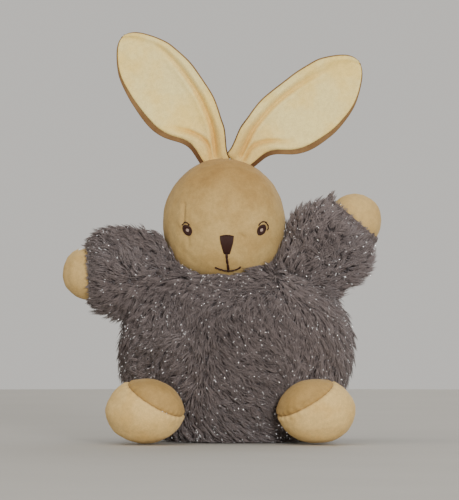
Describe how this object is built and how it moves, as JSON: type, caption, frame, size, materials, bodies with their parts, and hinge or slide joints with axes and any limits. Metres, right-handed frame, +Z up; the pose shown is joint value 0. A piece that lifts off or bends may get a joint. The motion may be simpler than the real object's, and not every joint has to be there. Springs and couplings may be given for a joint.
{
  "type": "rabbit soft toy",
  "caption": "Seated chubby rabbit soft toy with a shaggy fur body and sleeves, velour head, hands, feet and long ears, a stitched face, and limbs, ears and head that bend at their seams.",
  "frame": {"origin": "on the surface it sits on, at the seat panel's face, under the middle of the toy", "axes": "+Z up through the head, -Y the way the face looks, +X towards the toy's own left hand"},
  "size_m": [0.194, 0.1441, 0.2493],
  "materials": {
    "grey_fur": "matte",
    "tan_velour": "matte",
    "cream_velour": "matte",
    "brown_thread": "satin",
    "fibre_fill": "matte",
    "woven_cotton": "matte",
    "plastic_pellets": "satin"
  },
  "bodies": {
    "torso": {"body_front_panel": "grey_fur", "body_back_panel": "grey_fur", "seat_panel": "grey_fur", "body_stuffing": "fibre_fill", "pellet_pouch": "woven_cotton", "pellets": "plastic_pellets", "tail": "grey_fur", "care_label": "woven_cotton"},
    "neck": {"neck_wadding": "fibre_fill"},
    "head": {"head_face_panel": "tan_velour", "head_back_panel": "tan_velour", "head_stuffing": "fibre_fill", "eye_right": "brown_thread", "eye_left": "brown_thread", "eyelid_right": "brown_thread", "eyelid_left": "brown_thread", "nose": "brown_thread", "nose_to_mouth_line": "brown_thread", "mouth": "brown_thread"},
    "ear_right": {"ear_right_lining": "cream_velour", "ear_right_wadding": "fibre_fill", "ear_right_back": "tan_velour"},
    "arm_right": {"sleeve_right": "grey_fur", "hand_right": "tan_velour", "arm_right_stuffing": "fibre_fill"},
    "leg_right": {"foot_right_upper": "tan_velour", "foot_right_sole": "tan_velour", "foot_right_stuffing": "fibre_fill"},
    "ear_left": {"ear_left_lining": "cream_velour", "ear_left_wadding": "fibre_fill", "ear_left_back": "tan_velour"},
    "arm_left": {"sleeve_left": "grey_fur", "hand_left": "tan_velour", "arm_left_stuffing": "fibre_fill"},
    "leg_left": {"foot_left_upper": "tan_velour", "foot_left_sole": "tan_velour", "foot_left_stuffing": "fibre_fill"}
  },
  "joints": [
    {"name": "neck_turn", "type": "hinge", "parent": "torso", "child": "neck", "pos_m": [-0.0036, -0.002, 0.133], "axis": [0, 0, 1], "range_deg": [-40, 40], "stiffness_Nm_per_rad": 0.2},
    {"name": "head_nod", "type": "hinge", "parent": "neck", "child": "head", "pos_m": [-0.0036, -0.002, 0.133], "axis": [1, 0, 0], "range_deg": [-15, 15], "stiffness_Nm_per_rad": 0.25},
    {"name": "ear_right_lean", "type": "hinge", "parent": "head", "child": "ear_right", "pos_m": [-0.0142, 0.001, 0.1769], "axis": [0, -1, 0], "range_deg": [-20, 32], "stiffness_Nm_per_rad": 0.06},
    {"name": "ear_left_lean", "type": "hinge", "parent": "head", "child": "ear_left", "pos_m": [0.0128, 0.001, 0.1752], "axis": [0, 1, 0], "range_deg": [-22, 18], "stiffness_Nm_per_rad": 0.06},
    {"name": "arm_right_raise", "type": "hinge", "parent": "torso", "child": "arm_right", "pos_m": [-0.0505, -0.003, 0.1035], "axis": [0, 1, 0], "range_deg": [-24, 24], "stiffness_Nm_per_rad": 0.25},
    {"name": "arm_left_raise", "type": "hinge", "parent": "torso", "child": "arm_left", "pos_m": [0.053, -0.003, 0.108], "axis": [0, -1, 0], "range_deg": [-70, 5], "stiffness_Nm_per_rad": 0.25},
    {"name": "leg_right_lift", "type": "hinge", "parent": "torso", "child": "leg_right", "pos_m": [-0.0502, -0.038, 0.0198], "axis": [-1, 0, 0], "range_deg": [0, 35], "stiffness_Nm_per_rad": 0.25},
    {"name": "leg_left_lift", "type": "hinge", "parent": "torso", "child": "leg_left", "pos_m": [0.0508, -0.038, 0.02], "axis": [-1, 0, 0], "range_deg": [0, 35], "stiffness_Nm_per_rad": 0.25}
  ]
}
